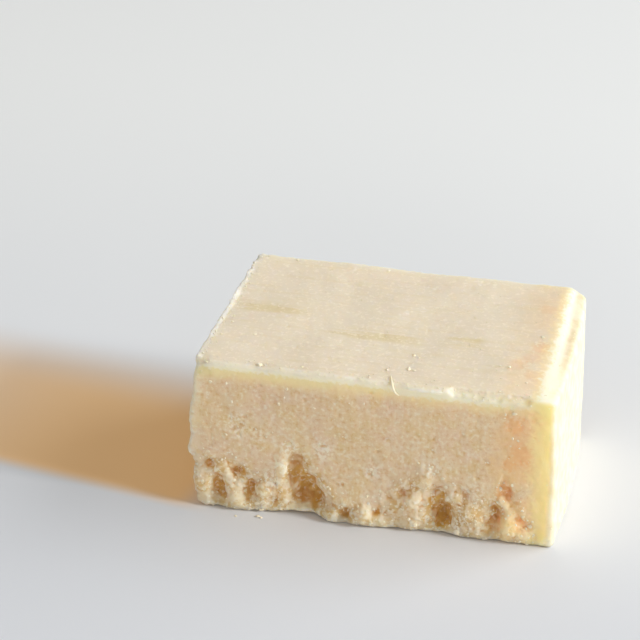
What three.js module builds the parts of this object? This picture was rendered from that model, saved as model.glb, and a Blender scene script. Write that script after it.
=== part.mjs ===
// A chunk of aged hard cheese: its upper faces are cut, its foot is broken, and one end is rind.
// Millimetres, +Z up. The origin is the middle of the bounding box at the foot. The broken front
// faces -Y and the rind +X.
import * as THREE from "three";
import { ImprovedNoise } from "three/addons/math/ImprovedNoise.js";
import { mergeVertices } from "three/addons/utils/BufferGeometryUtils.js";

// The block
const LENGTH = 83.2;
const DEPTH = 52;
const BLOCK_MIDDLE = { x: 0.24, y: 0.95 }; // the foot stands out further in front and on the left
const HEIGHT_FRONT = 36.8;
const HEIGHT_BACK = 39.4;
const TAPER_BACK = 1; // each end is this much nearer the middle at the back
const TAPER_TOP = 1; // and this much nearer it at the top
const EDGE_RADIUS = 0.9;
const RIND_BOW = 1; // how far the middle of the rind stands out
const RIND_BEVEL_RUN = 4; // the rind's top edge is worn away over this width
const RIND_BEVEL_DROP_FRONT = 0.4;
const RIND_BEVEL_DROP_BACK = 1.8;
const WORN_CORNER = { reach: 4.5, deep: 1.1 }; // the front's upper left corner

// The broken foot
const BREAK_REACH = 1.7; // the ragged zone goes this many times as far out as a hollow
const BREAK_FOOT = 3; // everything below this height is ragged
const LUMPS_COARSE = { height: 1.9, size: 3.6 };
const LUMPS_FINE = { height: 0.8, size: 1.7 };
const LUMP_MEAN = 0.22; // how high a lump is on average, as a part of its height
const CUT_SWELL = { height: 0.35, size: 17 };
const CUT_GRAIN = { height: 0.09, size: 4 };
const OUTLINE_WARP = { height: 0.9, size: 3.2 };
const JOSTLE = { height: 0.8, size: 2.1 };
const FLARE = { height: 0.8, first: -33, pitch: 29, fadeFrom: 5, fadeTo: 42 };
const LIFT = { height: 1.3, middle: -16.2, width: 4, fade: 6 };
const SOLE_INSET = 3;

// Hollows and teeth of the front, from the left: where the middle is, half the width and height,
// and how far each goes in or stands out.
const FRONT_HOLLOWS = [
  { along: -37.3, up: 10.6, wide: 1.7, tall: 1.5, deep: 1.5 },
  { along: -35.1, up: 4.8, wide: 1.8, tall: 4.4, deep: 2.8 },
  { along: -31, up: 9.4, wide: 2.2, tall: 2.6, deep: 2.3 },
  { along: -27.6, up: 5.6, wide: 1.6, tall: 3.4, deep: 2.3 },
  { along: -22.6, up: 3.2, wide: 1.3, tall: 2, deep: 1.1 },
  { along: -17.2, up: 12.4, wide: 2.6, tall: 4.2, deep: 2.4 },
  { along: -16, up: 8.2, wide: 4.4, tall: 5, deep: 3.8 },
  { along: -14.4, up: 4.6, wide: 5.8, tall: 5, deep: 4.8 },
  { along: -5.2, up: 2.4, wide: 2, tall: 2.4, deep: 2 },
  { along: 1.9, up: 4.4, wide: 1.7, tall: 2.3, deep: 2 },
  { along: 7.4, up: 9.5, wide: 1.3, tall: 3, deep: 1 },
  { along: 15.4, up: 11, wide: 2.2, tall: 3.4, deep: 2 },
  { along: 16.3, up: 5, wide: 3, tall: 4.2, deep: 4.2 },
  { along: 21.4, up: 10.8, wide: 1.4, tall: 1.3, deep: 1.1 },
  { along: 28.5, up: 5, wide: 2, tall: 5.6, deep: 2.7 },
  { along: 30.8, up: 13, wide: 1.9, tall: 2.2, deep: 1.7 },
  { along: 34.6, up: 5.6, wide: 1.2, tall: 3.2, deep: 1.2 },
];
const FRONT_TEETH = [
  { along: -38.7, up: 4.6, wide: 1.6, tall: 4.6, deep: 0.9 },
  { along: -31.4, up: 3.8, wide: 2.2, tall: 3.6, deep: 0.9 },
  { along: -24.4, up: 5, wide: 1.6, tall: 5.5, deep: 0.8 },
  { along: -20.6, up: 11.6, wide: 1.5, tall: 4.2, deep: 0.9 },
  { along: -0.9, up: 3.2, wide: 2.1, tall: 3.6, deep: 1.6 },
  { along: 9.3, up: 8, wide: 2.7, tall: 3, deep: 1.3 },
  { along: 10.3, up: 2.6, wide: 2.4, tall: 2.6, deep: 0.9 },
  { along: 12.7, up: 13.4, wide: 1, tall: 3.2, deep: 0.8 },
  { along: 23.2, up: 5.6, wide: 2.8, tall: 4.2, deep: 0.8 },
  { along: 31.4, up: 5, wide: 1.8, tall: 5, deep: 1.5 },
];
const LEFT_BULGES = [
  { along: -25, up: 15, wide: 9, tall: 4, deep: 1.4 },
  { along: -25, up: 22.5, wide: 12, tall: 4.5, deep: 1.1 },
];
const LEFT_BULGE_REACH = 10; // how far along the front the end's bulges are felt
const RIND_DENTS = [
  { along: 9, up: 34.4, wide: 4.4, tall: 1.3, deep: 0.8 },
  { along: -0.5, up: 34, wide: 2.8, tall: 1.3, deep: 0.7 },
  { along: -13.5, up: 33.6, wide: 2, tall: 1.4, deep: 0.7 },
  { along: -21.5, up: 33.2, wide: 2.6, tall: 1.4, deep: 0.8 },
];
// The left end and the back have small hollows along the foot.
const SCATTERED_HOLLOWS = {
  perMillimetre: 0.24,
  wide: [1.6, 3.8],
  tall: [2, 5.5],
  deep: [1.2, 3.2],
  up: [2, 8.5],
};
const SEED = 7;

// The mesh lines: close together along the foot and at the rounded edges.
const COLUMNS = 70;
const FOOT_ROWS = 13;
const UPPER_ROWS = 6;
const DEPTH_ROWS = 18;
const FOOT_BAND = 14;

const HALF_LENGTH = LENGTH / 2;
const HALF_DEPTH = DEPTH / 2;
const { clamp, lerp, smoothstep, seededRandom } = THREE.MathUtils;
const perlin = new ImprovedNoise();
const CORNER_INWARD = new THREE.Vector3(1, 1, -1).normalize();

/** Smooth noise of the given height and cell size at a point. */
function noise(p, { height, size }, shift = 0) {
  return height * perlin.noise(p.x / size + shift, p.y / size, p.z / size);
}

/** Rounded lumps with creases between them, on average as high as the face. */
function lumps(p, kind) {
  return Math.abs(noise(p, kind)) - LUMP_MEAN * kind.height;
}

/** How deep inside a feature's outline the point lies: 1 in its middle, 0 at its edge and beyond. */
function inside(feature, along, up, reach = 1) {
  const across = (along - feature.along) / (feature.wide * reach);
  const over = (up - feature.up) / (feature.tall * reach);
  return 1 - smoothstep(Math.hypot(across, over), 0.3, 1);
}

/** How deep the deepest of the features is at a place on their face. */
function relief(features, along, up) {
  return features.reduce((most, f) => Math.max(most, f.deep * inside(f, along, up)), 0);
}

/** 1 where the face is broken, 0 where it is cut. */
function ragged(features, along, up) {
  const foot = 1 - smoothstep(up, BREAK_FOOT, 2 * BREAK_FOOT);
  return features.reduce((most, f) => Math.max(most, inside(f, along, up, BREAK_REACH)), foot);
}

/** Small hollows at random places along the foot of a face of the given length. */
function scatteredHollows(length) {
  const { perMillimetre, wide, tall, deep, up } = SCATTERED_HOLLOWS;
  const between = ([low, high]) => lerp(low, high, seededRandom());
  return Array.from({ length: Math.round(length * perMillimetre) }, () => ({
    along: (seededRandom() - 0.5) * length,
    up: between(up),
    wide: between(wide),
    tall: between(tall),
    deep: between(deep),
  }));
}

seededRandom(SEED);
const LEFT_HOLLOWS = scatteredHollows(DEPTH);
const BACK_HOLLOWS = scatteredHollows(LENGTH);

/** How far the front's foot stands out at x: it waves, less so towards the rind. */
function flare(x) {
  const wave = 1 + Math.cos(((x - FLARE.first) / FLARE.pitch) * 2 * Math.PI);
  return FLARE.height * wave * (1 - smoothstep(x, FLARE.fadeFrom, FLARE.fadeTo));
}

/** How far the front's foot is off the ground at x. */
function lift(x) {
  return LIFT.height * Math.exp(-(((x - LIFT.middle) / LIFT.width) ** 2));
}

/** How far the broken front stands out, or in where it is negative. */
function frontRelief(p) {
  const along = p.x + noise(p, OUTLINE_WARP);
  const up = p.z + noise(p, OUTLINE_WARP, 40);
  const broken = ragged(FRONT_HOLLOWS, along, up);
  const crags = lumps(p, LUMPS_COARSE) + lumps(p, LUMPS_FINE);
  const foot = flare(p.x) * (1 - smoothstep(p.z, 0, FOOT_BAND));
  return foot + broken * crags + relief(FRONT_TEETH, along, up) - relief(FRONT_HOLLOWS, along, up);
}

/** The same for the left end and the back, which are broken only along the foot. */
function hiddenRelief(p, along, hollows) {
  const crags = lumps(p, LUMPS_COARSE) + lumps(p, LUMPS_FINE);
  return ragged(hollows, along, p.z) * crags - relief(hollows, along, p.z);
}

/** The rind bows out, and has a few dents under its top edge. */
function rindRelief(p) {
  const bow = RIND_BOW * (1 - (p.y / HALF_DEPTH) ** 2);
  return bow - relief(RIND_DENTS, p.y, p.z);
}

/** How far a place on the block is worn away by the front's rounded upper left corner. */
function cornerWear(x, y, z) {
  const away = Math.hypot(x + HALF_LENGTH, y + HALF_DEPTH, z - HEIGHT_FRONT);
  return WORN_CORNER.deep * (1 - smoothstep(away, 0, WORN_CORNER.reach));
}

/** Moves a point of the sharp-edged upright block to its place on the cheese. */
function place(x, y, z) {
  const sharp = new THREE.Vector3(x, y, z);
  const core = new THREE.Vector3(
    clamp(x, EDGE_RADIUS - HALF_LENGTH, HALF_LENGTH - EDGE_RADIUS),
    clamp(y, EDGE_RADIUS - HALF_DEPTH, HALF_DEPTH - EDGE_RADIUS),
    Math.min(z, HEIGHT_FRONT - EDGE_RADIUS),
  );
  const outward = sharp.clone().sub(core).normalize();
  const p = core.clone().addScaledVector(outward, EDGE_RADIUS);

  const towards = (component) => Math.max(0, component) ** 2;
  const standsOut =
    noise(p, CUT_SWELL) +
    noise(p, CUT_GRAIN) +
    towards(-outward.y) * frontRelief(p) +
    towards(outward.y) * hiddenRelief(p, p.x, BACK_HOLLOWS) +
    towards(-outward.x) * hiddenRelief(p, p.y, LEFT_HOLLOWS) +
    towards(outward.x) * rindRelief(p);
  const jostled = towards(-outward.y) * ragged(FRONT_HOLLOWS, p.x, p.z);
  const sideways = new THREE.Vector3(noise(p, JOSTLE, 20), 0, noise(p, JOSTLE, 60));
  p.addScaledVector(outward, standsOut).addScaledVector(sideways, jostled);
  if (z === 0) p.z = 0;
  p.x -= relief(LEFT_BULGES, p.y, p.z) * smoothstep(-p.x, HALF_LENGTH - LEFT_BULGE_REACH, HALF_LENGTH);
  p.z += towards(-outward.y) * lift(p.x) * (1 - smoothstep(z, 0, LIFT.fade));

  const back = clamp(y / DEPTH + 0.5, 0, 1);
  const top = clamp(z / HEIGHT_FRONT, 0, 1);
  const worn = smoothstep(p.x, HALF_LENGTH - RIND_BEVEL_RUN, HALF_LENGTH) * top ** 8;
  p.x *= 1 - (TAPER_BACK * back + TAPER_TOP * top) / HALF_LENGTH;
  p.z *= lerp(1, HEIGHT_BACK / HEIGHT_FRONT, back);
  p.z -= lerp(RIND_BEVEL_DROP_FRONT, RIND_BEVEL_DROP_BACK, back) * worn;
  p.addScaledVector(CORNER_INWARD, cornerWear(x, y, z));
  p.x += BLOCK_MIDDLE.x;
  p.y += BLOCK_MIDDLE.y;
  return p;
}

/** Evenly spaced values from low to high, both included. */
function spaced(low, high, steps) {
  return Array.from({ length: steps + 1 }, (_, i) => lerp(low, high, i / steps));
}

/** Mesh lines across a side, with two more at each rounded edge. */
function roundedSide(half, steps) {
  const flat = half - EDGE_RADIUS;
  const edge = half - EDGE_RADIUS / 2;
  return [-half, -edge, ...spaced(-flat, flat, steps), edge, half];
}

const xs = roundedSide(HALF_LENGTH, COLUMNS);
const ys = roundedSide(HALF_DEPTH, DEPTH_ROWS);
const zs = [
  ...spaced(0, FOOT_BAND, FOOT_ROWS),
  ...spaced(FOOT_BAND, HEIGHT_FRONT - EDGE_RADIUS, UPPER_ROWS).slice(1),
  HEIGHT_FRONT - EDGE_RADIUS / 2,
  HEIGHT_FRONT,
];

/** Two triangles for each cell between two sets of mesh lines, anticlockwise seen from outside. */
function face(us, vs, at) {
  const triangles = [];
  for (let i = 0; i + 1 < us.length; i++) {
    for (let j = 0; j + 1 < vs.length; j++) {
      const [a, b] = [at(us[i], vs[j]), at(us[i + 1], vs[j])];
      const [d, c] = [at(us[i], vs[j + 1]), at(us[i + 1], vs[j + 1])];
      // The shorter diagonal follows the relief better.
      if (a.distanceTo(c) < b.distanceTo(d)) triangles.push(a, b, c, a, c, d);
      else triangles.push(a, b, d, b, c, d);
    }
  }
  return triangles;
}

/** The sole's inset from a side, which starts two insets away so that the corners stay in order. */
function inset(value, half) {
  return Math.sign(value) * SOLE_INSET * clamp((Math.abs(value) - half) / (2 * SOLE_INSET) + 1, 0, 1);
}

/** The sole: a strip in from the foot's outline, which is off the ground in places, then a flat base. */
function sole() {
  const outline = [
    ...xs.slice(1).map((x) => [x, -HALF_DEPTH]),
    ...ys.slice(1).map((y) => [HALF_LENGTH, y]),
    ...xs.toReversed().slice(1).map((x) => [x, HALF_DEPTH]),
    ...ys.toReversed().slice(1).map((y) => [-HALF_LENGTH, y]),
  ];
  const foot = outline.map(([x, y]) => place(x, y, 0));
  const base = foot.map((p, i) => {
    const [x, y] = outline[i];
    return new THREE.Vector3(p.x - inset(x, HALF_LENGTH), p.y - inset(y, HALF_DEPTH), 0);
  });
  const triangles = [];
  foot.forEach((a, i) => {
    const next = (i + 1) % foot.length;
    triangles.push(a, base[next], foot[next], a, base[i], base[next]);
  });
  const flat = base.map((p) => new THREE.Vector2(p.x, p.y));
  for (const [i, j, k] of THREE.ShapeUtils.triangulateShape(flat, [])) {
    triangles.push(base[i], base[k], base[j]);
  }
  return triangles;
}

const cheeseSurface = mergeVertices(
  new THREE.BufferGeometry().setFromPoints([
    ...face(xs, zs, (x, z) => place(x, -HALF_DEPTH, z)),
    ...face(ys, zs, (y, z) => place(HALF_LENGTH, y, z)),
    ...face(xs.toReversed(), zs, (x, z) => place(x, HALF_DEPTH, z)),
    ...face(ys.toReversed(), zs, (y, z) => place(-HALF_LENGTH, y, z)),
    ...face(xs, ys, (x, y) => place(x, y, HEIGHT_FRONT)),
    ...sole(),
  ]),
);
cheeseSurface.computeVertexNormals();

const paste = new THREE.MeshStandardMaterial({ color: 0xe6d3ad, roughness: 0.6, metalness: 0 });
const cheese = new THREE.Mesh(cheeseSurface, paste);
cheese.name = "cheese";

const chunk = new THREE.Group();
chunk.add(cheese);
export default chunk;
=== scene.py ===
import functools
import itertools
import math

import bmesh
import bpy
import numpy as np
import openvdb
from mathutils import Matrix, Vector
from mathutils.bvhtree import BVHTree


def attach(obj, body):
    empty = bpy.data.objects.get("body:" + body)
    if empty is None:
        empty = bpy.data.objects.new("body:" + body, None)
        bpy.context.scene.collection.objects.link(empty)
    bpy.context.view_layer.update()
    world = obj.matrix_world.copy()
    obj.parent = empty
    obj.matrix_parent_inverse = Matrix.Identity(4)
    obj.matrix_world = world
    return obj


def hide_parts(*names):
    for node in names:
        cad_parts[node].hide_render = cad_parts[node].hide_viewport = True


# A chunk of aged hard cheese on a pale table. Sizes and places are in millimetres, in the CAD
# model's frame: X along the front to the rind, Y to the back, Z up. MM turns them into metres.
MM = 0.001

# The cut block
LEFT, RIND, FRONT, BACK = -41.2, 41.6, -25.05, 26.95
HEIGHT_FRONT, HEIGHT_BACK = 36.8, 39.4
LEAN = 1  # how far the left end leans in towards the top, and towards the back

# The voxel grid that the surface is worked out on
VOXEL = 0.28
TRUE_DISTANCE = 2.0  # how far from the surface the distances are true
MARGIN = 2  # room round the solid
FACET_BLUR = 0.3  # how far the solid's facets are melted together
TORN_BLUR, TORN_SHARE = 0.9, 0.6  # a wider melting of its broken part, and how much of it
RELIEF_REACH = 1.3  # how far from the solid's surface its relief is worked out
MOST_TRIANGLES = 190_000

# The surface is shaped by layers of noise: the height, the size of the features and the seed of
# each. A size is one for all axes, or one for each.

# How high the break reaches up the front at each place along it
BREAK_LINE = (
    (-42, 12), (-37, 13), (-31, 12.5), (-27, 10), (-23, 8.5), (-20, 13), (-17, 17), (-13, 13),
    (-9, 8), (-4, 4.5), (2, 7), (6, 11), (12, 17), (16, 14.5), (20, 12.5), (25, 8.5),
    (28, 12), (31, 15.5), (34, 10), (38, 4), (42, 3),
)
BREAK_HIDDEN = 10  # how high it reaches on the other sides
BREAK_DEPTHS = (FRONT + 5, FRONT + 10)  # between these the front's height turns into that one
BREAK_AT_RIND = 1.5  # how high it reaches at the rind
BREAK_ENDS = (36, 40)  # between these it sinks to that, along X
BREAK_FADE = 1.8  # how far above and below its line broken cheese turns into cut cheese
BROKEN_LEAST = 0.02  # a place less broken than this gets no lumps
BREAK_WAVES = ((1.3, 2.2, 13), (0.7, 1, 14))
HIDDEN_WAVES = ((3.5, 7, 11), (2, 2.6, 12))

# The lumps of the broken cheese: how wide, how much each stands out and how round it is
LUMPS = (
    {"size": 2.8, "step": 0.45, "round": 0.3},
    {"size": 1.4, "step": 0.25, "round": 0.2},
)
LUMP_LEVEL = 0.35  # the squared distance from its middle at which a lump is as high as the rest
LUMP_SEED = 30
LUMP_WARP, LUMP_WARP_SIZE, LUMP_WARP_SEEDS = 0.9, 2.4, (21, 22, 23)
CREASES = ((0.27, 0.7, 25), (0.2, 1.3, 24))
CREASE_LEVEL = 0.4  # the noise at which a crease is as high as the rest
BROKEN_GRAIN = ((0.14, 0.45, 26),)
BROKEN_SHARE, SOLE_SHARE = 0.9, 0.3  # how strong all that is, and how much of it the sole has
SOLE_LEVELS = (0.3, 2.5)  # between these heights it grows to its full strength
# Pockets between the front's lumps: where, half the width and height, and how deep each is
POCKETS = (
    ((-37.3, 10.5), (1.4, 1.4), 0.6), ((-30.2, 9.4), (1.8, 1.8), 0.7), ((-35, 4.8), (1.6, 3), 0.7),
    ((-27.4, 5.6), (1.3, 2.7), 0.6), ((-17.3, 9.9), (2, 2.4), 0.7), ((-15, 6.9), (2, 2.4), 0.8),
    ((-13.2, 3.4), (1.4, 2.2), 0.8), ((-5, 2.1), (1.4, 1.2), 0.6), ((2.2, 4.5), (1.2, 1.6), 0.6),
    ((16.8, 2.9), (2.6, 1.8), 0.9), ((15.4, 8.6), (2.6, 1.6), 0.7), ((18.4, 7.6), (1, 1.7), 0.6),
    ((13.9, 6.4), (0.9, 1.8), 0.5), ((31.3, 13.5), (1.3, 1.7), 0.5), ((28.8, 8.5), (1, 3.4), 0.5),
    ((28.1, 2.4), (1, 1.8), 0.5),
)
POCKET_FALL = 1.3  # how fast they get shallow
POCKET_WARP_X = ((1.2, 2.2, 58), (0.4, 0.9, 60))
POCKET_WARP_Z = ((1.2, 2.2, 59), (0.4, 0.9, 61))
POCKET_ENDS = (FRONT + 4, FRONT + 7)  # between these they die out, towards the back

# The cut cheese: its low waves, its grain, and the knife's lines on the sides and on the top
CUT_WAVES = ((0.05, 3.4, 41),)
CUT_GRAIN = ((0.06, 1.3, 42), (0.08, 0.65, 43))
KNIFE_ON_SIDES, KNIFE_ON_TOP, KNIFE_HEIGHT = (0.7, 4, 14), (22, 0.8, 4), 0.03
TOP_LEVELS = (HEIGHT_FRONT - 3, HEIGHT_FRONT - 1)  # between these the sides turn into the top
PIT_SIZE, PIT_LEVEL, PIT_DEPTH = 0.9, 0.5, 0.5
TOP_SHARE = 0.4  # how much of the grain and the pits the top has
# What keeps the cut edges sharp, but uneven
RIM_BLUR, RIM_MOST = 0.6, 0.5
RIM_SHARE, RIM_WAVES = 0.6, ((0.8, 0.9, 46),)
RIM_ENDS = (34, 37)  # between these it dies out, towards the rind
# The rind: low waves with ridges on them, and where along X these set in and are full
RIND_WAVES = ((0.12, 6, 49),)
RIND_RIDGES = ((1, 1.6, 47), (0.6, 0.8, 48))
RIDGE_HEIGHT, RIDGE_LEVEL = 0.12, 0.5
RIND_RELIEF = (RIND - 3.5, RIND - 1.5)

# Pores and slits in the front: where, and half the width, depth and height of each
FRONT_PORES = (
    ((-31, 21), (0.7, 0.6, 0.5)), ((-29.6, 22), (0.5, 0.5, 0.4)),
    ((-30.2, 19.6), (0.4, 0.5, 0.4)), ((-28.6, 24), (0.6, 0.5, 0.4)),
    ((-32.2, 23.2), (0.4, 0.5, 0.5)), ((-26.5, 21), (0.4, 0.4, 0.4)),
    ((-24.4, 19.4), (0.6, 0.4, 0.3)), ((-22.6, 20.6), (0.4, 0.4, 0.3)),
    ((-18.7, 18.5), (0.9, 0.7, 0.4)), ((-10.7, 19), (1.1, 0.6, 0.35)),
    ((-12.6, 17.6), (0.6, 0.5, 0.3)), ((1.6, 19.4), (0.6, 0.4, 0.4)),
    ((-6, 21.5), (0.5, 0.4, 0.4)), ((14.2, 21), (0.4, 0.4, 0.4)),
    ((4, 22.6), (0.5, 0.4, 0.3)), ((20.6, 26), (0.4, 0.4, 0.5)),
    ((0.2, 13.2), (0.7, 0.5, 0.4)), ((26.4, 19.6), (0.5, 0.4, 0.3)),
)
# Pores strewn over the sides: how many, half their size, how high they lie, how far they stay
# from the rind, and the front's, the back's and the left end's share of them
STREWN_PORES, PORE_SIZES, PORE_HEIGHTS, PORE_RIND_GAP = 110, (0.2, 0.45), (4, 34), 6
PORE_SHARES = (0.35, 0.4, 0.25)
PORE_STRETCH, PORE_INSET = (0.7, 1.3), 0.3  # and how far in the left end's middles are
# How uneven the walls of the pores and the notch are, and how much of that the lip has
WALL_ROUGH, WALL_ROUGH_SIZE, LIP_SHARE = 0.5, 0.6, 0.5
# The lip where the top's edge hangs over the front
LIP = ((12.4, -25.1, 36.2), (4.2, 0.7, 0.5))
# The notch in the front's upper edge. From there to the rind that edge has crumbled away: how
# wide, and where along X this sets in and dies out.
NOTCH = ((17.6, -25.8, 36.9), (0.9, 1.6, 0.9))
CHIPPED_WIDTH, CHIPPED_START, CHIPPED_END = 1.8, (17, 18.6), (34, 38)
CHIPPED_WAVES = ((0.25, 0.9, 53), (0.2, 0.5, 54))
# The burr on the top's left edge: how high, how wide and how deep in the top its root is
BURR_HEIGHT, BURR_WIDTH, BURR_ROOT = 0.28, 1.8, 0.3
BURR_PEAKS = ((5.6, 2.8), (5.6, 5), (18, 2), (-12, 2.5))  # where along Y, and their reach
BURR_WAVES, BURR_TEETH = ((0.3, 1.8, 55), (0.12, 0.6, 56)), ((0.5, 1.1, 57),)
BURR_FRONT_GAP, BURR_BACK_GAP = 2, 0.8

# White crumbs by where they lie, with half the size of each
FRONT_CRUMBS = (
    (-36.5, 32, 0.4), (-32.7, 32, 0.45), (-20.7, 28.3, 0.45), (-31.5, 27.5, 0.35),
    (-33, 19, 0.4), (-18.8, 32.4, 0.4), (-19.4, 30, 0.3), (-12.6, 28.4, 0.3),
    (-1.3, 31.2, 0.35), (-4.6, 30.8, 0.25), (0.5, 14.5, 0.55), (0.9, 13.4, 0.4),
    (30, 32.5, 0.4), (32, 33, 0.5), (36.5, 5, 0.7), (20.3, 1.6, 0.75), (18, 9.6, 0.55),
    (17.4, 12.4, 0.5), (31.8, 26.8, 0.4), (33, 26.4, 0.35), (-36.6, 3.4, 0.7),
    (-25.6, 2.4, 0.7), (-24.8, 0.8, 0.6), (-20.4, 1.4, 0.6), (-9.4, 8.6, 0.45),
    (-6.6, 4.2, 0.5), (-23.4, 6.4, 0.5), (10.8, 2.2, 0.6), (9.4, 3.4, 0.5),
    (-31.2, 7.4, 0.5), (24.6, 5.4, 0.35), (26, 4.2, 0.35), (29.6, 13.6, 0.5),
    (34.4, 1.2, 0.5), (13.6, 16.6, 0.5),
)
TOP_CRUMBS = (
    (-25.5, -23.6, 0.8), (-24.4, -23.2, 0.5), (2.5, -19.5, 0.65), (7, -12, 0.55),
    (8.2, -12.6, 0.4), (7, -18, 0.7), (8.4, -18.4, 0.5), (-29.5, 25.5, 0.5), (-7, 25, 0.5),
    (-35, 27, 0.45), (33.5, 2, 0.5), (28.5, -12.5, 0.5), (26.5, -12.5, 0.4),
    (-30, -11, 0.45), (-0.6, -23.6, 0.5), (13.6, -21.4, 0.4), (-16, -22.6, 0.45),
    (21, -6, 0.35), (-37.4, -12.6, 0.4), (33.2, -18, 0.4),
)
FLOOR_CRUMBS = ((-25, -27.9, 0.55), (-24.2, -28.3, 0.4), (-30, -28.9, 0.35))
# Strewn crumbs: how many, and half the size of the least and of the largest
TOP_DUST = 240, (0.1, 0.24)
EDGE_DUST = 300, (0.12, 0.32)
PORE_DUST = 2, (0.15, 0.3)  # at each of the front's pores
FOOT_DUST = 900, (0.12, 0.42)
EDGE_SPREAD, EDGE_FRONT_SHARE = 1.2, 0.65  # how far from the edge, and the front edge's share
PORE_RING, PORE_LAST_TURN = 1.3, 2.4  # how far off a pore's middle, in its sizes, and in angle
# How far towards the rind, from which height, and up to how far above the break
FOOT_TO, FOOT_LOWEST, FOOT_ABOVE_BREAK = RIND - 4, 0.3, 2
FOOT_SHARES = (0.5, 0.3, 0.2)  # the front's, the back's and the left end's
CRUMB_STRETCH, CRUMB_DENTS, CRUMB_FLATNESS = (0.7, 1.3), (0.65, 1.15), 0.5
CRUMB_TURN = 6.28  # up to how many radians each is turned
CRUMBS_TO_DEPTH = 1.6  # none lies further than this behind the sides
AWAY = 90  # how far off a ray starts that finds a crumb's place
DOWN, INWARD, RIGHT = Vector((0, 0, -1)), Vector((0, 1, 0)), Vector((1, 0, 0))
# The flake that hangs over the top's front edge: the points of its middle line
FLAKE = (
    (3.8, -21.6, 37.1), (4.4, -23.7, 37.1), (4.9, -25.1, 36.8), (5.3, -25.7, 35.8),
    (5.9, -25.7, 34.8), (6.7, -25.5, 34.3),
)
FLAKE_WIDTH, FLAKE_THICKNESS, FLAKE_OUT = 0.8, 0.35, (0.2, -0.75, 0.6)
FLAKE_TAPER = (0.5, math.pi - 0.4)  # the stretch of a sine that its width follows
FLAKE_UNEVEN = (0.7, 1.2)

# Crests stand out of the surface as it is when blurred a little, and hollows lie behind it when
# blurred a lot: how far it is blurred, and how many mm count as 1. Every third voxel is enough
# for hollows.
CREST_BLUR, CREST_SCALE = 0.55, 0.3
HOLLOW_BLUR, HOLLOW_SCALE, HOLLOW_STRIDE = 2.2, 1.2, 3

# How ragged the edge of a spot of colour is, and up to what part of its reach it is full
SPOT_RAGGED, SPOT_FULL = 3, 0.4
# Orange spots near the rind: the middle, the reach and the strength of each
FRONT_ORANGE = (
    ((32, 30), 3, 0.4), ((34, 23), 3.5, 0.4), ((31.4, 20), 2, 0.4), ((30.5, 12.5), 2.8, 0.5),
    ((35, 5), 2.6, 0.4), ((28.5, 5), 2, 0.4),
)
TOP_ORANGE = (
    ((34.2, -2.6), 3.2, 0.3), ((32.9, -7.3), 2.8, 0.2), ((34.3, -14.5), 2.8, 0.2),
    ((33, 14.8), 2.6, 0.15), ((30.1, -10.6), 3, 0.2),
)
# Crumbly whitish patches on the front, in the same way
FRONT_FROST = (
    ((-22.9, 8.9), 3.4, 0.75), ((-20.6, 12.6), 2.6, 0.8), ((-18.4, 17.4), 3, 0.8),
    ((-24.5, 2), 2.6, 0.8), ((-30.8, 22), 4.4, 0.5), ((-25.5, 19.5), 3.4, 0.3),
    ((-10.6, 17.5), 3.6, 0.6), ((1, 14), 3, 0.6), ((14.2, 16.5), 3.2, 0.6), ((24, 12), 3.6, 0.5),
)
# Yellowish streaks on the top: middle, and half the length and the width of each
STREAKS = ((-29, 1.2, 12, 2.6), (-4, -5, 14, 3.2), (17, -3.5, 6, 2.6))
# White specks: how far apart their cells are, their size, the share of cells, and the strength
SPECKS = ((2.2, 0.3, 0.35, 0.8), (1.1, 0.16, 0.3, 0.5))

# Colours, as sRGB parts of 255
CREAM = (237, 222, 198)
STREAK = (230, 212, 172)
TAN = (235, 209, 167)
PINK_TAN = (235, 208, 175)
OLIVE_BAND = (251, 231, 181)
# amber: a random tone on the sides, and painted shade in the broken foot's hollows
AMBER_TONE_AND_SHADE = (212, 158, 82)
OLIVE_AMBER_SHADE = (221, 175, 95)
YELLOW_TAN = (231, 204, 154)
PALE_TAN = (240, 222, 193)
CREST = (245, 233, 209)
FROST = (251, 240, 219)
TORN_PALE = (236, 214, 180)
TORN_DARK = (222, 188, 134)
ORANGE = (248, 211, 155)
ORANGE_DEEP = (246, 184, 118)
# painted light: a golden glow next to the rind
PAINTED_GOLD_GLOW = (255, 230, 171)
RIND_STRAW = (223, 213, 190)
# darker rind: its mottling, and painted shade in its creases
RIND_MOTTLE_AND_SHADE = (213, 198, 166)
RIND_YELLOW = (255, 244, 198)
# bloom: a whitish dry film, and painted light on the left end and the rind's top edge
BLOOM_AND_PAINTED_LIGHT = (255, 241, 220)
WHITE_CRUMB = (243, 228, 200)
# The table, painted darker and cooler towards the front: painted shade for the lamps' falloff
FLOOR_NEAR = (222, 224, 229)
FLOOR_FAR = (243, 244, 244)
# painted shade: the table's warm tint in the cheese's shadow
FLOOR_SHADED = (206, 182, 150)

# The table, and the painted warm shade and painted glow in the cheese's shadow on it: where
# these fade in and out, along the light's way and across it, and the glow, which stands in for
# light that has come through the cheese
FLOOR_HALF = 4000
FLOOR_NEAR_Y, FLOOR_FAR_Y = -90, 250
SHADOW_TURN = math.radians(10)
SHADOW_START, SHADOW_END = (-30, -42), (-190, -75)
SHADOW_FRONT, SHADOW_BACK = (-37, -31), (30, 0)
GLOW, GLOW_STRENGTH = (1, 0.5, 0.12, 1), 0.23

# The lamps: the place, the side in mm, the power in watts and the colour of each
LAMPS = {
    "window": ((2660, -330, 1350), 600, 62, (0.96, 0.99, 1)),
    "behind": ((2450, 1000, 1400), 2200, 58, (0.98, 0.99, 0.99)),
    "fill": ((350, -1600, 240), 800, 5.5, (1, 0.98, 0.95)),
}
LAMP_TARGET = Vector((0, 0, 18))
SKY, SKY_STRENGTH = (1, 0.98, 0.94, 1), 0.34

CAMERA_PLACE = (91.74, -436.05, 266.3)
CAMERA_YAW, CAMERA_DIP = 14.07, 27
LENS, SENSOR = 123.75, 36


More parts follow.
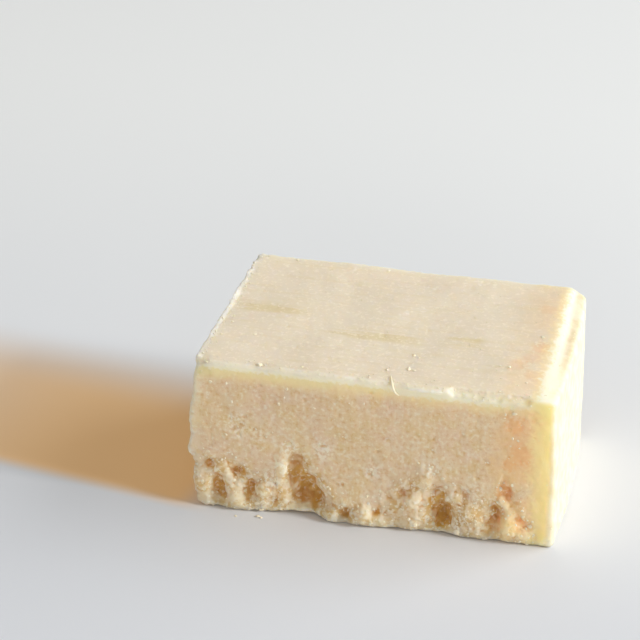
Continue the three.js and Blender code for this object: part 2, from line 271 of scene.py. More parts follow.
class Grid:
    """Numbers at voxels round the cheese. The first voxel is at start, and they are size apart."""

    def __init__(self, values, start, size):
        self.values = values
        self.start = start
        self.size = size

    def axes(self):
        """The voxels' places along X, Y and Z, each shaped to spread over the grid."""
        places = (s + np.arange(n) * self.size for s, n in zip(self.start, self.values.shape))
        return [p.astype(np.float32) for p in np.meshgrid(*places, indexing="ij", sparse=True)]

    def at(self, points):
        """The numbers at any points, by linear blending."""
        cells = np.clip((points - self.start) / self.size, 0, np.array(self.values.shape) - 1.001)
        low = cells.astype(np.int32)
        part = cells - low
        total = np.zeros(len(points))
        for corner in itertools.product((0, 1), repeat=3):
            weight = np.prod(np.where(corner, part, 1 - part), axis=1)
            total += weight * self.values[tuple((low + corner).T)]
        return total


def smoothstep(value, low, high):
    """0 at low and before it, 1 at high and past it, smooth between."""
    part = np.clip((value - low) / (high - low), 0, 1)
    return part * part * (3 - 2 * part)


def blend(low, high, part):
    """Low where part is 0, and high where it is 1."""
    return low * (1 - part) + high * part


def blurred(values, sigma):
    """The values blurred by sigma voxels along each axis, in wide passes and then narrow ones."""
    variance = sigma * sigma
    while variance > 0.25:
        stride = max(1, int(math.sqrt(variance)))
        for axis in range(3):
            sides = np.roll(values, stride, axis) + np.roll(values, -stride, axis)
            values = (sides + 2 * values) / np.float32(4)
        variance -= stride * stride / 2
    return values


def noise(axes, size, seed):
    """Smooth noise from -1 to 1 at all voxels. size is its cell's length, or one for each axis."""
    sizes = np.broadcast_to(size, 3)
    cells = [(a - a.flat[0]).ravel() / s for a, s in zip(axes, sizes)]
    counts = [int(c.max()) + 2 for c in cells]
    values = np.random.default_rng(seed).uniform(-1, 1, counts).astype(np.float32)
    for axis, cell in enumerate(cells):
        low = cell.astype(np.int32)
        shape = [1, 1, 1]
        shape[axis] = len(cell)
        part = smoothstep(cell - low, 0, 1).astype(np.float32).reshape(shape)
        values = blend(np.take(values, low, axis), np.take(values, low + 1, axis), part)
    return values


def layered(axes, layers, values=0):
    """The values with layers of noise added."""
    for height, size, seed in layers:
        values = values + height * noise(axes, size, seed)
    return values


def lumps(points, size, seed):
    """For each point, the squared distance to the nearest of many strewn middles, in lumps' sizes,
    and a number from -1 to 1 that all points of a lump share."""
    cells = points / np.float32(size)
    cells = cells - cells.min(0) + 1
    home = cells.astype(np.int32)
    rng = np.random.default_rng(seed)
    middles = rng.uniform(0, 1, (*(home.max(0) + 2), 3)).astype(np.float32)
    steps = rng.uniform(-1, 1, middles.shape[:3]).astype(np.float32)
    nearest = np.full(len(points), 9, np.float32)
    shared = np.zeros(len(points), np.float32)
    for offset in itertools.product((-1, 0, 1), repeat=3):
        cell = tuple((home + offset).T)
        away = cells - (home + offset) - middles[cell]
        distance = np.einsum("ij,ij->i", away, away)
        closer = distance < nearest
        nearest[closer] = distance[closer]
        shared[closer] = steps[cell][closer]
    return nearest, shared


def triangles_of(mesh):
    """A mesh's corners in mm, and its triangles."""
    mesh.calc_loop_triangles()
    corners = np.empty(len(mesh.vertices) * 3, np.float32)
    mesh.vertices.foreach_get("co", corners)
    triangles = np.empty(len(mesh.loop_triangles) * 3, np.int32)
    mesh.loop_triangles.foreach_get("vertices", triangles)
    return corners.reshape(-1, 3) / MM, triangles.reshape(-1, 3)


def solid_grid(obj):
    """Signed distances in mm to an object's closed mesh, negative inside it."""
    corners, triangles = triangles_of(obj.data)
    level = openvdb.FloatGrid.createLevelSetFromPolygons(
        corners.astype(np.float32),
        triangles=triangles.astype(np.uint32),
        transform=openvdb.createLinearTransform(voxelSize=VOXEL),
        halfWidth=TRUE_DISTANCE / VOXEL,
    )
    low = np.floor((corners.min(0) - MARGIN) / VOXEL).astype(int)
    high = np.ceil((corners.max(0) + MARGIN) / VOXEL).astype(int)
    values = np.empty(high - low + 1, np.float32)
    level.copyToArray(values, ijk=tuple(int(i) for i in low))
    return Grid(values, low * VOXEL, VOXEL)


def top_height(y):
    """How high the top is at y."""
    return blend(HEIGHT_FRONT, HEIGHT_BACK, (y - FRONT) / (BACK - FRONT))


def left_at(y, z):
    """Where the cut left end is, which leans in towards the top and the back."""
    return LEFT + LEAN * z / HEIGHT_FRONT + LEAN * (y - FRONT) / (BACK - FRONT)


def broken_part(axes):
    """1 where the cheese is broken, 0 where it is cut."""
    x, y, z = axes
    front = np.interp(x, *zip(*BREAK_LINE))
    hidden = layered([x, y, z[:, :, :1]], HIDDEN_WAVES, BREAK_HIDDEN)
    line = blend(front, hidden, smoothstep(y, *BREAK_DEPTHS))
    line = blend(line, BREAK_AT_RIND, smoothstep(x, *BREAK_ENDS))
    return smoothstep(line + layered(axes, BREAK_WAVES) - z, -BREAK_FADE, BREAK_FADE)


def broken_relief(axes, chosen):
    """How far the broken cheese stands out at the chosen voxels: uneven lumps with creases
    between them, and a grain on those."""
    points = np.stack([a.ravel()[i] for a, i in zip(axes, chosen)], 1)
    warp = [noise(axes, LUMP_WARP_SIZE, seed)[chosen] for seed in LUMP_WARP_SEEDS]
    warped = points + LUMP_WARP * np.stack(warp, 1)
    relief = layered(axes, BROKEN_GRAIN)[chosen]
    for height, size, seed in CREASES:
        relief += height * (CREASE_LEVEL - abs(noise(axes, size, seed)[chosen]))
    for number, kind in enumerate(LUMPS):
        distance, shared = lumps(warped, kind["size"], LUMP_SEED + number)
        relief += 0.5 * kind["step"] * shared + kind["round"] * (LUMP_LEVEL - distance)
    grown = smoothstep(points[:, 2], *SOLE_LEVELS)
    return BROKEN_SHARE * relief * blend(SOLE_SHARE, 1, grown)


def rind_relief(axes):
    """How far the rind stands out: shallow waves, and pits and ridges as of coarse leather."""
    ridges = sum(share * abs(noise(axes, size, seed)) for share, size, seed in RIND_RIDGES)
    return layered(axes, RIND_WAVES) + RIDGE_HEIGHT * (RIDGE_LEVEL - ridges)


def cut_relief(axes):
    """How far the cut cheese stands out: a fine grain, and the knife's faint lines along X on the
    top and upright on the sides."""
    upper = smoothstep(axes[2], *TOP_LEVELS)
    knife = blend(noise(axes, KNIFE_ON_SIDES, 44), noise(axes, KNIFE_ON_TOP, 45), upper)
    grain = layered(axes, CUT_GRAIN) + KNIFE_HEIGHT * knife
    pits = PIT_DEPTH * np.clip(noise(axes, PIT_SIZE, 50) - PIT_LEVEL, 0, 1 - PIT_LEVEL)
    return layered(axes, CUT_WAVES) + blend(1, TOP_SHARE, upper) * (grain - pits)


def rim_relief(axes, solid, broken):
    """How far the cut edges stand out of the solid's blurred ones, unevenly."""
    edge = blurred(solid.values, RIM_BLUR / VOXEL) - solid.values
    rim = np.clip(edge, 0, RIM_MOST) * (1 - smoothstep(axes[0], *RIM_ENDS))
    return rim * (1 - broken) * layered(axes, RIM_WAVES, RIM_SHARE)


def in_pockets(axes):
    """How deep the front's pockets are."""
    x = axes[0] + layered(axes, POCKET_WARP_X)
    z = axes[2] + layered(axes, POCKET_WARP_Z)
    deep = 0
    for (middle_x, middle_z), (wide, tall), depth in POCKETS:
        away = ((x - middle_x) / wide) ** 2 + ((z - middle_z) / tall) ** 2
        deep = np.maximum(deep, depth * np.exp(-POCKET_FALL * away))
    return deep * (1 - smoothstep(axes[1], *POCKET_ENDS))


def chipped_edge(axes):
    """Above 0 where the front's upper edge has crumbled away."""
    x, y, z = axes
    width = CHIPPED_WIDTH * smoothstep(x, *CHIPPED_START)
    width = layered(axes, CHIPPED_WAVES, width * (1 - smoothstep(x, *CHIPPED_END)))
    return (width - (y - FRONT) - (top_height(y) - z)) / math.sqrt(2)


def burr(axes):
    """Below 0 inside the sharp, crusty edge between the top and the left end."""
    x, y, z = axes
    left = layered(axes, BURR_WAVES, left_at(y, z))
    peaks = sum(np.exp(-(((y - middle) / reach) ** 2)) for middle, reach in BURR_PEAKS)
    high = BURR_HEIGHT * (1 + peaks) * layered(axes, BURR_TEETH, 1)
    slope = smoothstep(left + BURR_WIDTH - x, 0, BURR_WIDTH)
    height = top_height(y) - BURR_ROOT + (BURR_ROOT + high) * slope
    ends = FRONT + BURR_FRONT_GAP - y, y - BACK + BURR_BACK_GAP
    return functools.reduce(np.maximum, (left - x, z - height, x - left - BURR_WIDTH, *ends))


def carve(grid, middle, half, rough, sign=1):
    """Takes an ellipsoid with uneven walls out of the grid's solid, or with sign -1 adds it."""
    middle, half = np.array(middle), np.array(half)
    low = ((middle - 2 * half - grid.start) / grid.size).astype(int)
    high = ((middle + 2 * half - grid.start) / grid.size).astype(int) + 2
    low, high = np.maximum(low, 0), np.minimum(high, grid.values.shape)
    if (low >= high).any():
        return
    part = tuple(slice(a, b) for a, b in zip(low, high))
    places = [a.ravel()[s] for a, s in zip(grid.axes(), part)]
    places = np.meshgrid(*places, indexing="ij", sparse=True)
    reach = np.sqrt(sum(((p - m) / h) ** 2 for p, m, h in zip(places, middle, half)))
    hole = ((1 - reach + WALL_ROUGH * rough[part]) * half.min()).astype(np.float32)
    if sign > 0:
        grid.values[part] = np.maximum(grid.values[part], hole)
    else:
        grid.values[part] = np.minimum(grid.values[part], -hole)


def pores():
    """The middles and half sizes of all pores."""
    for (x, z), half in FRONT_PORES:
        yield (x, FRONT, z), half
    rng = np.random.default_rng(51)
    lowest, highest = PORE_HEIGHTS
    for _ in range(STREWN_PORES):
        corners = (LEFT, FRONT, lowest), (RIND - PORE_RIND_GAP, BACK, highest)
        along, across, up = rng.uniform(*corners)
        size = rng.uniform(*PORE_SIZES)
        half = size * rng.uniform(*PORE_STRETCH, 3)
        side = rng.choice(3, p=PORE_SHARES)
        places = ((along, FRONT, up), (along, BACK, up), (LEFT + PORE_INSET, across, up))
        yield places[side], half


def cheese_grid(solid):
    """The solid's grid with the broken and the cut surfaces worked into it, and where it is
    broken and how deep its pockets are."""
    values = blurred(solid.values, FACET_BLUR / VOXEL)
    axes = solid.axes()
    broken = broken_part(axes)
    values = blend(values, blurred(values, TORN_BLUR / VOXEL), TORN_SHARE * broken)
    near = np.abs(values) < RELIEF_REACH
    relief = blend(cut_relief(axes), rind_relief(axes), smoothstep(axes[0], *RIND_RELIEF))
    relief = (1 - broken) * relief
    relief += rim_relief(axes, solid, broken)
    chosen = np.nonzero(near & (broken > BROKEN_LEAST))
    relief[chosen] += broken[chosen] * broken_relief(axes, chosen)
    values[near] -= relief[near]
    pockets = in_pockets(axes)
    values += pockets
    values = np.maximum(values, chipped_edge(axes))
    values = np.minimum(values, burr(axes))
    grid = Grid(values, solid.start, solid.size)
    rough = noise(axes, WALL_ROUGH_SIZE, 52)
    carve(grid, *LIP, LIP_SHARE * rough, sign=-1)
    for middle, half in (NOTCH, *pores()):
        carve(grid, middle, half, rough)
    grid.values = np.maximum(grid.values, -axes[2])
    return grid, {"broken": broken, "pocket": pockets}


def surface_of(grid):
    """The grid's surface as points in mm and faces, all facing out."""
    level = openvdb.FloatGrid()
    level.background = TRUE_DISTANCE
    low = np.round(grid.start / grid.size).astype(int)
    level.copyFromArray(grid.values, ijk=tuple(int(i) for i in low), tolerance=1e-5)
    level.transform = openvdb.createLinearTransform(voxelSize=grid.size)
    points, triangles, quads = level.convertToPolygons(isovalue=0, adaptivity=0)
    return points, triangles.tolist() + quads.tolist()


def largest_part(count, faces):
    """Which points belong to the largest connected part."""
    parent = list(range(count))

    def root(i):
        while parent[i] != i:
            parent[i] = parent[parent[i]]
            i = parent[i]
        return i

    for face in faces:
        first = root(face[0])
        for other in face[1:]:
            other = root(other)
            if other != first:
                parent[other] = first
    roots = np.array([root(i) for i in range(count)])
    return roots == np.bincount(roots).argmax()


def mesh_from(name, points, faces):
    """A mesh of points in mm."""
    mesh = bpy.data.meshes.new(name)
    mesh.from_pydata((np.asarray(points) * MM).tolist(), [], faces)
    mesh.update()
    return mesh


def placed(name, mesh, material, smooth=True):
    """An object in the scene with that mesh and material."""
    obj = bpy.data.objects.new(name, mesh)
    bpy.context.scene.collection.objects.link(obj)
    mesh.materials.clear()
    mesh.materials.append(material)
    mesh.polygons.foreach_set("use_smooth", [smooth] * len(mesh.polygons))
    return obj


def thinned(mesh, most):
    """A copy of the mesh with at most so many triangles."""
    count = sum(len(p.vertices) - 2 for p in mesh.polygons)
    if count <= most:
        return mesh
    obj = bpy.data.objects.new("thinning", mesh)
    bpy.context.scene.collection.objects.link(obj)
    obj.modifiers.new("thin", "DECIMATE").ratio = most / count
    shown = obj.evaluated_get(bpy.context.evaluated_depsgraph_get())
    made = bpy.data.meshes.new_from_object(shown)
    made.name = mesh.name
    bpy.data.objects.remove(obj)
    return made


def write_shape(mesh, grid, spread):
    """Stores what the cheese's material has to know of its shape, one number of each kind at
    every point: how far it stands out of the surface round it or lies in a hollow, how deep it is
    behind the sides and below the top, and what was spread over the grid."""
    at = triangles_of(mesh)[0]
    x, y, z = at.T
    narrow = Grid(blurred(grid.values, CREST_BLUR / VOXEL), grid.start, grid.size)
    thin = grid.values[::HOLLOW_STRIDE, ::HOLLOW_STRIDE, ::HOLLOW_STRIDE]
    thin = blurred(thin, HOLLOW_BLUR / VOXEL / HOLLOW_STRIDE)
    wide = Grid(thin, grid.start, HOLLOW_STRIDE * grid.size)
    numbers = {
        "crest": narrow.at(at) / CREST_SCALE,
        "hollow": -wide.at(at) / HOLLOW_SCALE,
        "depth": np.min([x - left_at(y, z), y - FRONT, BACK - y], axis=0),
        "below_top": top_height(y) - z,
    }
    for name, values in spread.items():
        numbers[name] = Grid(values, grid.start, grid.size).at(at)
    for name, values in numbers.items():
        made = mesh.attributes.new(name, "FLOAT", "POINT")
        made.data.foreach_set("value", np.asarray(values, np.float32))


def build_cheese(node, material):
    """The chunk that stands for the solid."""
    grid, spread = cheese_grid(solid_grid(node))
    points, faces = surface_of(grid)
    kept = largest_part(len(points), faces)
    renumbered = np.cumsum(kept) - 1
    faces = [[int(renumbered[i]) for i in f] for f in faces if kept[f[0]]]
    mesh = thinned(mesh_from("cheese_chunk", points[kept], faces), MOST_TRIANGLES)
    write_shape(mesh, grid, spread)
    return placed("cheese_chunk", mesh, material)


def ball():
    """The points and faces of a small ball."""
    bm = bmesh.new()
    bmesh.ops.create_icosphere(bm, subdivisions=1, radius=1)
    points = np.array([v.co[:] for v in bm.verts])
    faces = np.array([[v.index for v in f.verts] for f in bm.faces])
    bm.free()
    return points, faces


def crumb(rng, shape, middle, half, way):
    """An angular crumb that lies flat: the points of a small ball pushed in and out at random."""
    scale = half * rng.uniform(*CRUMB_STRETCH, 3)
    turn = np.array(Matrix.Rotation(rng.uniform(0, CRUMB_TURN), 3, Vector(rng.normal(size=3))))
    points = (shape * rng.uniform(*CRUMB_DENTS, (len(shape), 1)) * scale) @ turn
    return points - CRUMB_FLATNESS * (points @ way)[:, None] * way + middle


def top_dust(rng):
    """Crumbs anywhere on the top."""
    count, sizes = TOP_DUST
    for _ in range(count):
        x, y = rng.uniform((LEFT, FRONT), (RIND, BACK))
        yield (x, y, AWAY), DOWN, rng.uniform(*sizes)


def edge_dust(rng):
    """Crumbs along the top's front and left edges."""
    count, sizes = EDGE_DUST
    for _ in range(count):
        inset = EDGE_SPREAD * abs(rng.normal())
        front = rng.uniform(LEFT, RIND), FRONT + inset
        left = LEFT + 2 * LEAN + inset, rng.uniform(FRONT, BACK)
        x, y = front if rng.random() < EDGE_FRONT_SHARE else left
        yield (x, y, AWAY), DOWN, rng.uniform(*sizes)


def pore_dust(rng):
    """Crumbs round the front's pores."""
    count, sizes = PORE_DUST
    for (x, z), (wide, _, tall) in FRONT_PORES:
        for turn in rng.uniform(0, PORE_LAST_TURN, count):
            along = x + PORE_RING * wide * math.cos(turn)
            up = z + PORE_RING * tall * math.sin(turn)
            yield (along, -AWAY, up), INWARD, rng.uniform(*sizes)


def foot_dust(rng):
    """Crumbs in the broken foot, on three sides."""
    count, sizes = FOOT_DUST
    for _ in range(count):
        x, y = rng.uniform((LEFT, FRONT), (FOOT_TO, BACK))
        z = rng.uniform(FOOT_LOWEST, np.interp(x, *zip(*BREAK_LINE)) + FOOT_ABOVE_BREAK)
        sides = ((x, -AWAY, z), INWARD), ((x, AWAY, z), -INWARD), ((-AWAY, y, z), RIGHT)
        yield (*sides[rng.choice(3, p=FOOT_SHARES)], rng.uniform(*sizes))


def crumb_rays(rng):
    """Where each crumb falls from, the way it falls and half its size: first those with a place of
    their own, then those strewn by chance."""
    for x, z, half in FRONT_CRUMBS:
        yield (x, -AWAY, z), INWARD, half
    for x, y, half in TOP_CRUMBS:
        yield (x, y, AWAY), DOWN, half
    for dust in (top_dust, edge_dust, pore_dust, foot_dust):
        yield from dust(rng)


def depth_in(place):
    """How far a place is behind the nearest side."""
    return min(place.x - LEFT, place.y - FRONT, BACK - place.y)


def build_crumbs(cheese, material):
    """All crumbs, as one mesh. Those on the cheese lie where a ray first meets it, but not deep in
    its hollows."""
    rng = np.random.default_rng(61)
    corners, triangles = triangles_of(cheese.data)
    tree = BVHTree.FromPolygons(corners.tolist(), triangles.tolist())
    shape, shape_faces = ball()
    points = []
    for start, way, half in crumb_rays(rng):
        place = tree.ray_cast(Vector(start), way)[0]
        if place is None or (way != DOWN and depth_in(place) > CRUMBS_TO_DEPTH):
            continue
        points.append(crumb(rng, shape, np.array(place), half, np.array(way)))
    for x, y, half in FLOOR_CRUMBS:
        made = crumb(rng, shape, (x, y, half), half, np.array(DOWN))
        made[:, 2] -= made[:, 2].min()
        points.append(made)
    faces = [shape_faces + len(shape) * i for i in range(len(points))]
    mesh = mesh_from("crumbs", np.concatenate(points), np.concatenate(faces).tolist())
    return placed("crumbs", mesh, material, smooth=False)


def build_flake(material):
    """The thin flake over the edge: a ribbon along its middle line, thinner towards both ends."""
    line = np.array(FLAKE)
    along = np.gradient(line, axis=0)
    along /= np.linalg.norm(along, axis=1)[:, None]
    across = np.cross(along, FLAKE_OUT)
    across /= np.linalg.norm(across, axis=1)[:, None]
    normal = np.cross(across, along)
    taper = np.sin(np.linspace(*FLAKE_TAPER, len(line)))[:, None]
    taper = taper * np.random.default_rng(71).uniform(*FLAKE_UNEVEN, (len(line), 1))
    wide = across * taper * FLAKE_WIDTH / 2
    thick = normal * taper * FLAKE_THICKNESS / 2
    rings = np.stack([line + wide, line + thick, line - wide, line - thick], 1)
    faces = [[0, 1, 2, 3], [4 * len(line) - i for i in (1, 2, 3, 4)]]
    for ring, side in itertools.product(range(len(line) - 1), range(4)):
        a, b = 4 * ring + side, 4 * ring + (side + 1) % 4
        faces.append([a, a + 4, b + 4, b])
    obj = placed("edge_flake", mesh_from("edge_flake", rings.reshape(-1, 3), faces), material)
    obj.modifiers.new("round", "SUBSURF").levels = 2
    return obj


def srgb(colour):
    """A colour for a shader, from sRGB parts of 255."""
    parts = [c / 255 for c in colour]
    return (*(p / 12.92 if p < 0.04045 else ((p + 0.055) / 1.055) ** 2.4 for p in parts), 1)


class Paint:
    """A material, built up node by node."""

    def __init__(self, name):
        self.material = bpy.data.materials.new(name)
        self.material.use_nodes = True
        self.tree = self.material.node_tree
        self.shader = self.tree.nodes["Principled BSDF"]
        place = self.add("ShaderNodeTexCoord").outputs["Object"]
        self.place = self.stretched(place, (1 / MM,) * 3)
        parts = self.add("ShaderNodeSeparateXYZ", {0: self.place})
        self.x, self.y, self.z = parts.outputs

    def add(self, kind, feeds=(), **settings):
        node = self.tree.nodes.new(kind)
        for name, value in settings.items():
            setattr(node, name, value)
        for key, value in dict(feeds).items():
            if isinstance(value, bpy.types.NodeSocket):
                self.tree.links.new(value, node.inputs[key])
            else:
                node.inputs[key].default_value = value
        return node

    def stretched(self, vector, by):
        return self.add("ShaderNodeVectorMath", {0: vector, 1: by}, operation="MULTIPLY").outputs[0]

    def number(self, name):
        """A number that the mesh holds at each point."""
        return self.add("ShaderNodeAttribute", attribute_name=name).outputs["Fac"]

    def maths(self, operation, a, b=0):
        return self.add("ShaderNodeMath", {0: a, 1: b}, operation=operation).outputs[0]

    def times(self, a, b):
        return self.maths("MULTIPLY", a, b)

    def step(self, value, low, high, most=1):
        """0 at low, most at high, smooth between."""
        feeds = {0: value, 1: low, 2: high, 3: 0, 4: most}
        return self.add("ShaderNodeMapRange", feeds, interpolation_type="SMOOTHSTEP").outputs[0]

    def noise(self, size, detail=2, stretch=(1, 1, 1), roughness=0.55):
        """Noise from 0 to 1 with features of about that size in mm."""
        feeds = {
            "Vector": self.stretched(self.place, stretch),
            "Scale": 1 / size,
            "Detail": detail,
            "Roughness": roughness,
        }
        return self.add("ShaderNodeTexNoise", feeds).outputs["Fac"]

    def mix(self, part, a, b):
        """Colour a where part is 0 and b where it is 1."""
        node = self.add("ShaderNodeMix", {0: part}, data_type="RGBA")
        for socket, colour in ((node.inputs[6], a), (node.inputs[7], b)):
            if isinstance(colour, bpy.types.NodeSocket):
                self.tree.links.new(colour, socket)
            else:
                socket.default_value = srgb(colour)
        return node.outputs[2]

    def tinted(self, colour, *tints):
        """The colour under tints: the colour and the strength of each, what it follows, and where
        that has none of it and all of it."""
        for tint, most, value, low, high in tints:
            colour = self.mix(self.step(value, low, high, most), colour, tint)
        return colour

    def specks(self, cell, size, share):
        """1 in small spots, of which that share of the cells has one."""
        spots = self.add("ShaderNodeTexVoronoi", {"Vector": self.place, "Scale": 1 / cell})
        chance = self.add("ShaderNodeSeparateColor", {0: spots.outputs["Color"]}).outputs[0]
        spot = self.step(spots.outputs["Distance"], size / cell, 0.5 * size / cell)
        return self.times(self.maths("LESS_THAN", chance, share), spot)

    def translucent(self, weight, scale):
        """Lets light go about so many mm into the cheese, red the farthest."""
        self.shader.inputs["Subsurface Weight"].default_value = weight
        self.shader.inputs["Subsurface Radius"].default_value = (1, 0.85, 0.55)
        self.shader.inputs["Subsurface Scale"].default_value = scale * MM

    def bumped(self, height, depth):
        """Adds fine relief of that depth in mm."""
        feeds = {"Height": height, "Distance": depth * MM, "Strength": 1.0}
        bump = self.add("ShaderNodeBump", feeds)
        self.tree.links.new(bump.outputs[0], self.shader.inputs["Normal"])

    def finish(self, colour, **constants):
        """The finished material."""
        self.tree.links.new(colour, self.shader.inputs["Base Color"])
        for name, value in constants.items():
            self.shader.inputs[name.replace("_", " ")].default_value = value
        return self.material


class CheesePaint(Paint):
    """The cheese's material. It follows the numbers that the mesh holds, and three noises."""

    def __init__(self):
        super().__init__("cheese_paste")
        self.crest, self.hollow = self.number("crest"), self.number("hollow")
        self.depth, self.below_top = self.number("depth"), self.number("below_top")
        self.broken, self.pocket = self.number("broken"), self.number("pocket")
        self.fine, self.mottle, self.cloud = self.noise(0.9, 3), self.noise(3, 3), self.noise(9, 2)
        self.uneven = self.maths("SUBTRACT", self.fine, 0.5)
        self.is_top = self.step(self.below_top, 1.1, 0.3)
        mottled = self.times(self.maths("SUBTRACT", self.mottle, 0.5), 5)
        self.toward_rind = self.ragged(self.maths("ADD", self.x, mottled), 4)

    def ragged(self, value, by):
        """The value made uneven, by up to about half of by."""
        return self.maths("ADD", value, self.times(self.uneven, by))

    def spot(self, middle, reach, strength):
        """The strength near a middle and 0 past its reach, with a ragged edge."""
        feeds = {0: self.place, 1: middle}
        away = self.add("ShaderNodeVectorMath", feeds, operation="DISTANCE").outputs["Value"]
        return self.step(self.ragged(away, SPOT_RAGGED), reach, SPOT_FULL * reach, strength)

    def side(self):
        """The cut sides: tan and mottled, with an olive band and a whitish rim below the top, and
        near the left end a whitish tint, partly crust and partly painted light.
        """
        upright = self.noise(0.8, 2, (1, 1, 0.15))
        band = self.maths("ADD", self.below_top, self.times(self.cloud, 3))
        wider = self.step(self.x, 3, 6.5, 1.1)
        rim = self.maths("SUBTRACT", self.ragged(self.below_top, 3), wider)
        return self.tinted(
            TAN,
            (PINK_TAN, 1, self.cloud, 0.35, 0.65),
            (YELLOW_TAN, 0.6, self.mottle, 0.5, 0.66),
            (PALE_TAN, 0.5, self.mottle, 0.46, 0.36),
            (CREST, 0.2, upright, 0.52, 0.68),
            (CREST, 0.6, self.fine, 0.52, 0.66),
            (AMBER_TONE_AND_SHADE, 0.3, self.fine, 0.46, 0.32),
            (OLIVE_BAND, 0.85, band, 7, 3.4),
            (BLOOM_AND_PAINTED_LIGHT, 0.8, rim, 1.9, 0.9),
            # partly a whitish crust, partly painted light for light through the thin left edge
            (BLOOM_AND_PAINTED_LIGHT, 0.25, self.ragged(self.x, 2), LEFT + 2.6, LEFT + 0.8),
        )

    def top(self):
        """The top: cream, with yellowish streaks along X and a whitish bloom."""
        streaks = self.noise(1.6, 2, (0.08, 1, 1))
        top = self.tinted(CREAM, (STREAK, 0.3, streaks, 0.5, 0.68))
        for x, y, half_x, half_y in STREAKS:
            away_x = self.maths("ABSOLUTE", self.maths("SUBTRACT", self.x, x))
            away_y = self.maths("ABSOLUTE", self.maths("SUBTRACT", self.y, y))
            near_x = self.step(away_x, half_x, 0.4 * half_x)
            near_y = self.step(away_y, half_y, 0.3 * half_y)
            here = self.times(self.times(near_x, near_y), self.step(streaks, 0.35, 0.6))
            top = self.mix(here, top, STREAK)
        return self.tinted(
            top,
            (BLOOM_AND_PAINTED_LIGHT, 0.6, self.fine, 0.52, 0.7),
            (BLOOM_AND_PAINTED_LIGHT, 0.4, self.ragged(self.depth, 2), 1.6, 0.5),
        )

    def torn(self):
        """The broken foot: pale lumps, with painted amber shade in the hollows, in the creases and
        deeper behind the sides, and painted olive amber shade in the pockets.
        """
        torn = self.tinted(
            TORN_PALE,
            (TORN_DARK, 1, self.mottle, 0.4, 0.6),
            # painted shade: amber in the hollows, deeper behind the sides and in the creases
            (AMBER_TONE_AND_SHADE, 0.5, self.hollow, 0, 0.9),
            (AMBER_TONE_AND_SHADE, 0.8, self.depth, 0.9, 3),
            (AMBER_TONE_AND_SHADE, 0.5, self.crest, -0.1, -0.7),
            # painted shade: olive amber in the pockets
            (OLIVE_AMBER_SHADE, 0.95, self.pocket, 0.12, 0.5),
        )
        grains = self.times(self.step(self.fine, 0.5, 0.6), self.step(self.mottle, 0.4, 0.6, 0.8))
        return self.mix(grains, torn, CREST)

    def orange(self, colour):
        """The colour with an orange tinge towards the rind, less of it on the top."""
        tinge = self.times(self.step(self.toward_rind, 23, 32), self.step(self.cloud, 0.25, 0.6))
        strength = self.maths("SUBTRACT", 0.7, self.times(self.is_top, 0.4))
        return self.mix(self.times(tinge, strength), colour, ORANGE)

    def spotted(self, colour):
        """The colour with its whitish patches and its deeper orange spots."""
        grains = self.step(self.fine, 0.45, 0.56)
        for (x, z), reach, strength in FRONT_FROST:
            here = self.times(grains, self.spot((x, FRONT, z), reach, strength))
            colour = self.mix(here, colour, FROST)
        spots = [((x, FRONT, z), *spot) for (x, z), *spot in FRONT_ORANGE]
        spots += [((x, y, top_height(y)), *spot) for (x, y), *spot in TOP_ORANGE]
        for middle, reach, strength in spots:
            colour = self.mix(self.spot(middle, reach, strength), colour, ORANGE_DEEP)
        return colour

    def with_rind(self, colour):
        """The colour with a painted golden glow next to the rind, which stands in for light come
        through it, and then the rind itself, darker in its creases as painted shade, whose worn
        edge reaches a little way on to the top and is painted whitish there as a painted highlight."""
        rind = self.tinted(
            RIND_STRAW,
            (RIND_MOTTLE_AND_SHADE, 1, self.mottle, 0.36, 0.68),
            # painted shade: darker in the rind's creases
            (RIND_MOTTLE_AND_SHADE, 0.3, self.crest, 0.05, -0.25),
            (RIND_YELLOW, 1, self.hollow, 0.05, 0.5),
        )
        # painted highlight: the rind's edge on the top painted whitish where it catches the light
        rind = self.mix(self.is_top, rind, BLOOM_AND_PAINTED_LIGHT)
        # painted light: a golden glow next to the rind, standing in for light come through it
        colour = self.tinted(colour, (PAINTED_GOLD_GLOW, 0.9, self.toward_rind, 33.5, 38))
        worn = self.times(self.step(self.depth, 0.2, 1), self.step(self.toward_rind, 35.5, 37.5))
        worn = self.times(worn, self.step(self.below_top, 12, 8))
        colour = self.mix(worn, colour, rind)
        return self.tinted(colour, (rind, 1, self.x, RIND - 2.2, RIND - 0.7))


def cheese_material():
    """Pale on the top, tan and mottled on the cut sides, with painted amber shade in the hollows,
    white on crests, and orange, a painted golden glow and then straw towards the rind."""
    paint = CheesePaint()
    cut = paint.mix(paint.is_top, paint.side(), paint.top())
    colour = paint.mix(paint.broken, cut, paint.torn())
    colour = paint.tinted(colour, (CREST, 0.6, paint.crest, 0.2, 0.9))
    colour = paint.with_rind(paint.spotted(paint.orange(colour)))
    for cell, size, share, strength in SPECKS:
        specks = paint.times(paint.specks(cell, size, share), strength)
        colour = paint.mix(specks, colour, WHITE_CRUMB)
    paint.translucent(0.85, 6)
    paint.bumped(paint.noise(0.4), 0.025)
    return paint.finish(colour, Roughness=0.65, Specular_IOR_Level=0.3)


def crumb_material():
    """The drier, whiter crumbs."""
    paint = Paint("crumb_white")
    colour = paint.tinted(WHITE_CRUMB, (CREST, 1, paint.noise(1.4), 0.4, 0.65))
    paint.translucent(0.4, 0.4)
    paint.bumped(paint.noise(0.2), 0.03)
    return paint.finish(colour, Roughness=0.8, Specular_IOR_Level=0.3)


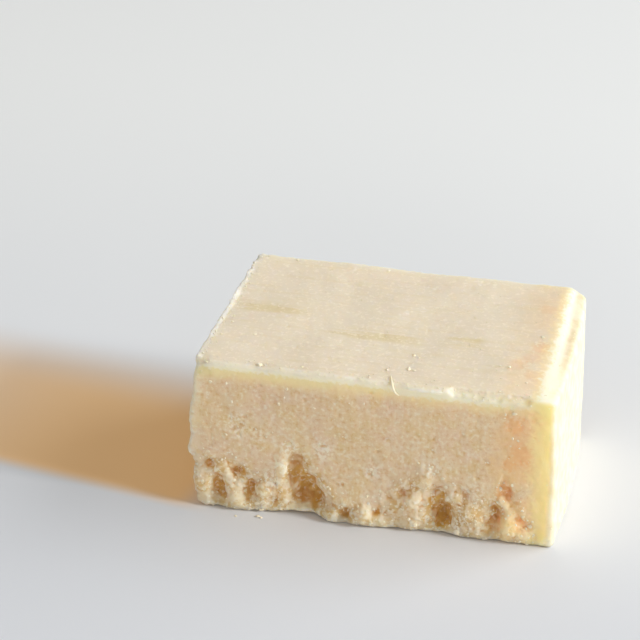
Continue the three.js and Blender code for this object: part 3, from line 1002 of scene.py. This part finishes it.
def floor_material():
    """A pale matt table, painted darker towards the front as painted shade. In the cheese's shadow
    it has a painted warm shade, and a painted glow standing in for light through the cheese.
    """
    paint = Paint("table_pale")
    feeds = {"Vector": paint.place, "Rotation": (0, 0, SHADOW_TURN)}
    turned = paint.add("ShaderNodeMapping", feeds).outputs[0]
    along, across, _ = paint.add("ShaderNodeSeparateXYZ", {0: turned}).outputs
    lengthways = paint.times(paint.step(along, *SHADOW_START), paint.step(along, *SHADOW_END))
    crossways = paint.times(paint.step(across, *SHADOW_FRONT), paint.step(across, *SHADOW_BACK))
    inside = paint.times(lengthways, crossways)
    # painted light: the table glows in the cheese's shadow
    glow = paint.times(inside, GLOW_STRENGTH)
    paint.tree.links.new(glow, paint.shader.inputs["Emission Strength"])
    paint.shader.inputs["Emission Color"].default_value = GLOW
    # painted shade: darker towards the front
    colour = paint.tinted(FLOOR_NEAR, (FLOOR_FAR, 1, paint.y, FLOOR_NEAR_Y, FLOOR_FAR_Y))
    # painted shade: the warm tint in the cheese's shadow
    return paint.finish(paint.mix(inside, colour, FLOOR_SHADED), Roughness=0.75)


def build_floor():
    """The table, which isn't part of the object."""
    corners = [(x * FLOOR_HALF, y * FLOOR_HALF, 0) for x, y in ((-1, -1), (1, -1), (1, 1), (-1, 1))]
    floor = placed("floor", mesh_from("floor", corners, [[0, 1, 2, 3]]), floor_material())


def add_to_scene(name, data, place, ahead):
    """A camera or a lamp at a place in mm that looks ahead."""
    obj = bpy.data.objects.new(name, data)
    obj.location = Vector(place) * MM
    obj.rotation_mode = "QUATERNION"
    obj.rotation_quaternion = Vector(ahead).to_track_quat("-Z", "Y")
    bpy.context.scene.collection.objects.link(obj)
    return obj


def light_studio():
    """A soft window on the right, a much wider one on the right behind, a weak low lamp in front
    and pale light all round."""
    for name, (place, size, power, colour) in LAMPS.items():
        data = bpy.data.lights.new(name, "AREA")
        data.energy, data.size, data.color = power, size * MM, colour
        add_to_scene(name, data, place, LAMP_TARGET - Vector(place))
    world = bpy.data.worlds.new("studio")
    bpy.context.scene.world = world
    world.use_nodes = True
    background = world.node_tree.nodes["Background"]
    background.inputs["Color"].default_value = SKY
    background.inputs["Strength"].default_value = SKY_STRENGTH
    bpy.context.scene.view_settings.view_transform = "Standard"


def photo_camera():
    """The camera at the photograph's place."""
    yaw, dip = math.radians(CAMERA_YAW), math.radians(CAMERA_DIP)
    ahead = (-math.sin(yaw) * math.cos(dip), math.cos(yaw) * math.cos(dip), -math.sin(dip))
    data = bpy.data.cameras.new("camera")
    data.lens, data.sensor_width = LENS, SENSOR
    bpy.context.scene.camera = add_to_scene("camera", data, CAMERA_PLACE, ahead)


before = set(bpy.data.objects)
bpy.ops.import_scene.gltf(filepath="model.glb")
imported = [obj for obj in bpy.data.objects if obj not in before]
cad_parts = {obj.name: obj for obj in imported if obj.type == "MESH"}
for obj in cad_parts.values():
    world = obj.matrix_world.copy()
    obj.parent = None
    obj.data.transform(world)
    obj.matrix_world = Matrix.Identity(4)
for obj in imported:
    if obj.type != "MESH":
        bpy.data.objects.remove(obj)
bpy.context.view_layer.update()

photo_camera()
light_studio()
build_floor()

cheese = build_cheese(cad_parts["cheese"], cheese_material())
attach(cheese, "root")
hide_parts("cheese")

white = crumb_material()
for piece in (build_crumbs(cheese, white), build_flake(white)):
    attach(piece, "root")
